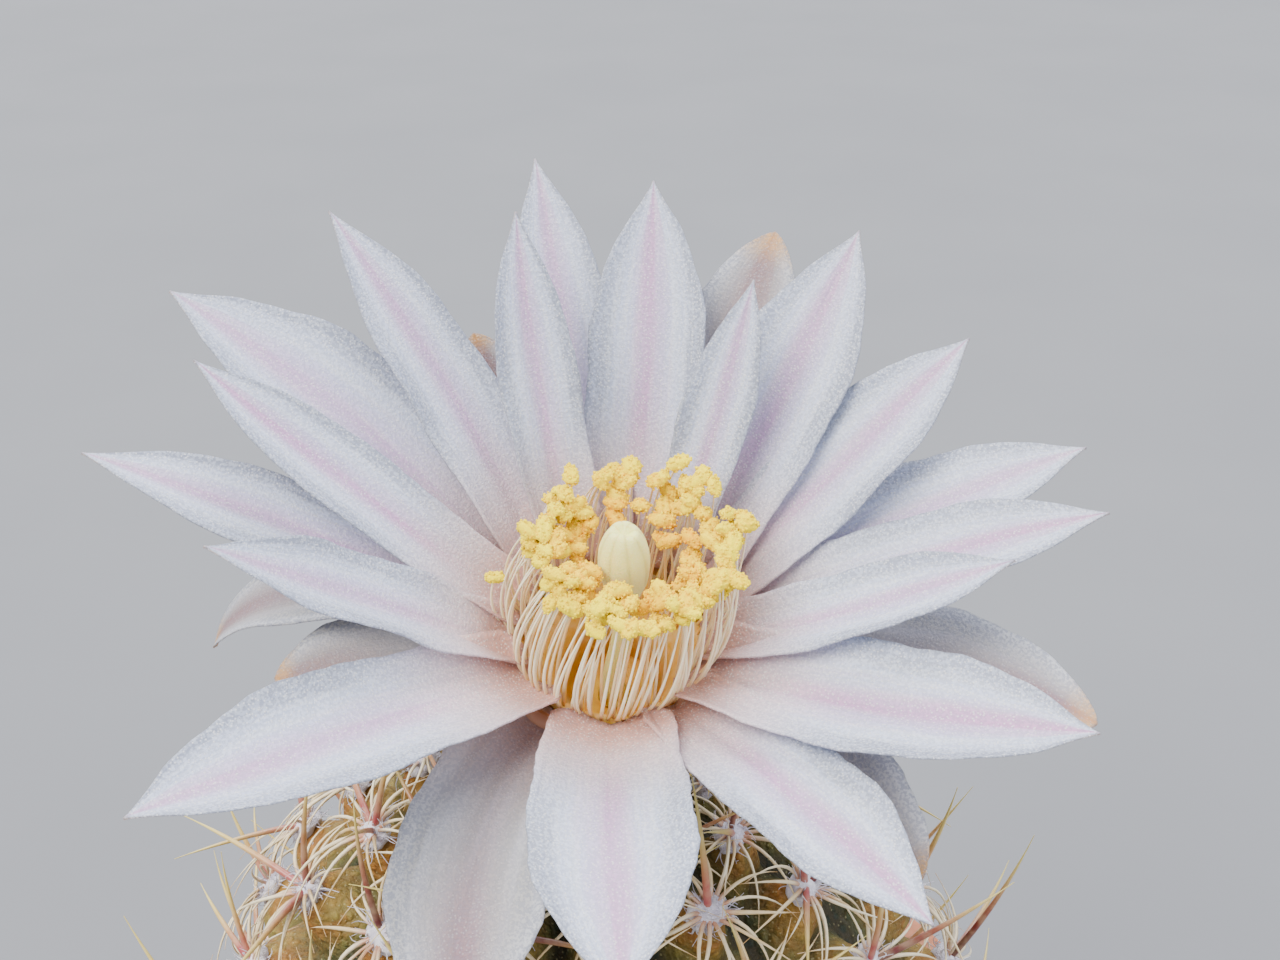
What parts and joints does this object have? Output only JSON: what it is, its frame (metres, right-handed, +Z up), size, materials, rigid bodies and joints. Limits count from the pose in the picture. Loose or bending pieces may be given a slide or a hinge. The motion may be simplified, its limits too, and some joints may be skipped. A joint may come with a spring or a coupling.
{
  "type": "potted gymnocalycium bruchii",
  "caption": "Small ribbed globe of a cactus with woolly, spined areoles and an open pale pink flower at its crown, rooted in gritty soil in a plain clay pot.",
  "frame": {"origin": "centre of the pot's underside", "axes": "+Z up the pot's axis; the open flower leans towards -Y, the side the picture looks from"},
  "size_m": [0.06, 0.06, 0.1117],
  "materials": {
    "terracotta": "unglazed, matt",
    "gritty_soil": "loose mineral grit and peat, matt",
    "cactus_skin": null,
    "tepal": null,
    "pollen_yellow": null,
    "stigma_cream": null
  },
  "bodies": {
    "root": {"pot": "terracotta", "soil": "gritty_soil", "stem": "cactus_skin", "bloom": "tepal", "stamens": "pollen_yellow", "pistil": "stigma_cream"}
  },
  "joints": []
}
